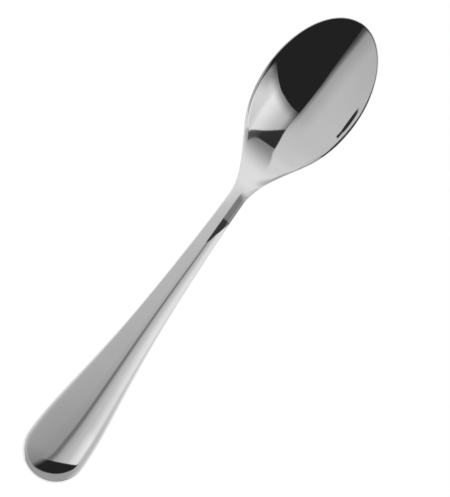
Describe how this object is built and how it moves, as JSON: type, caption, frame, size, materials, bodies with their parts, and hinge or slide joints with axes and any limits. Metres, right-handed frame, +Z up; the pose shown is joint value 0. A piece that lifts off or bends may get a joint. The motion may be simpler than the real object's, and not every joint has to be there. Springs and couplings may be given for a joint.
{
  "type": "coffee spoon",
  "caption": "Polished stainless steel coffee spoon with an oval bowl, a slim arched neck and a round-ended handle that widens and has a rounded border, for stirring and sipping hot drinks.",
  "frame": {"origin": "on the table plane that the spoon lies on, under the middle of its length and width", "axes": "+X along the length towards the bowl's tip, +Z up out of the open bowl, +Y across the width"},
  "size_m": [0.137, 0.0262, 0.0109],
  "materials": {
    "steel": "mirror-polished stainless steel"
  },
  "bodies": {
    "root": {"handle": "steel", "neck": "steel", "bowl": "steel"}
  },
  "joints": []
}
